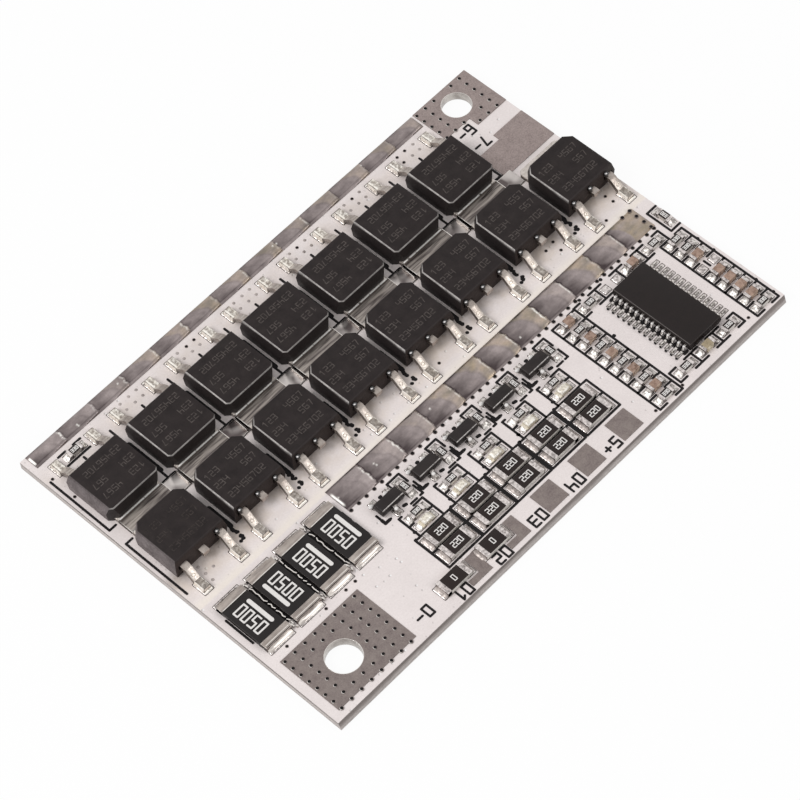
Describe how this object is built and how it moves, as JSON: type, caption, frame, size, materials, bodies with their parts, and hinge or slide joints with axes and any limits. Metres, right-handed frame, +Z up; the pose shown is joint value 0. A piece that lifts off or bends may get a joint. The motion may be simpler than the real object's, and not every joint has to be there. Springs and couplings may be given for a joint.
{
  "type": "battery management board",
  "caption": "Flat circuit board that guards a battery pack: power transistors in rows, shunt resistors, balancing parts, a controller chip and solder pads with fixing holes.",
  "frame": {"origin": "centre of the board's underside", "axes": "+X along the board's long side, towards the controller chip; +Y across it, towards the outer solder rail; +Z up, out of the side that carries the components"},
  "size_m": [0.06, 0.041, 0.0033],
  "materials": {
    "board_laminate": "white solder mask over glass laminate, satin",
    "tinned_pad": "tin plated copper, matt grey",
    "solder": "flowed solder, bright, with flux stains",
    "lead_metal": "tin plated, satin",
    "end_cap": "tinned, satin",
    "moulding": "moulded black epoxy, fine matt",
    "resistor_body": "black glaze",
    "capacitor_body": "fired tan ceramic",
    "lamp_base": "white laminate",
    "lamp_lens": "clear pale yellow epoxy"
  },
  "bodies": {
    "root": {"balance_resistor_bodies": "resistor_body", "balance_resistor_caps": "end_cap", "battery_pad": "tinned_pad", "capacitor_bodies": "capacitor_body", "capacitor_caps": "end_cap", "cell_tap_pads": "tinned_pad", "charger_pad": "tinned_pad", "circuit_board": "board_laminate", "controller_body": "moulding", "controller_pins": "lead_metal", "gate_transistor_bodies": "moulding", "gate_transistor_legs": "lead_metal", "lamp_bases": "lamp_base", "lamp_lenses": "lamp_lens", "link_resistor_bodies": "resistor_body", "link_resistor_caps": "end_cap", "load_pad": "tinned_pad", "middle_solder_rail": "solder", "mosfet_01_body": "moulding", "mosfet_01_frame": "lead_metal", "mosfet_02_body": "moulding", "mosfet_02_frame": "lead_metal", "mosfet_03_body": "moulding", "mosfet_03_frame": "lead_metal", "mosfet_04_body": "moulding", "mosfet_04_frame": "lead_metal", "mosfet_05_body": "moulding", "mosfet_05_frame": "lead_metal", "mosfet_06_body": "moulding", "mosfet_06_frame": "lead_metal", "mosfet_07_body": "moulding", "mosfet_07_frame": "lead_metal", "mosfet_08_body": "moulding", "mosfet_08_frame": "lead_metal", "mosfet_09_body": "moulding", "mosfet_09_frame": "lead_metal", "mosfet_10_body": "moulding", "mosfet_10_frame": "lead_metal", "mosfet_11_body": "moulding", "mosfet_11_frame": "lead_metal", "mosfet_12_body": "moulding", "mosfet_12_frame": "lead_metal", "mosfet_13_body": "moulding", "mosfet_13_frame": "lead_metal", "mosfet_14_body": "moulding", "mosfet_14_frame": "lead_metal", "mosfet_15_body": "moulding", "mosfet_15_frame": "lead_metal", "outer_solder_rail": "solder", "shunt_1_caps": "end_cap", "shunt_1_element": "resistor_body", "shunt_2_caps": "end_cap", "shunt_2_element": "resistor_body", "shunt_3_caps": "end_cap", "shunt_3_element": "resistor_body", "shunt_4_caps": "end_cap", "shunt_4_element": "resistor_body", "small_resistor_bodies": "resistor_body", "small_resistor_caps": "end_cap", "solder_joints": "solder"}
  },
  "joints": []
}
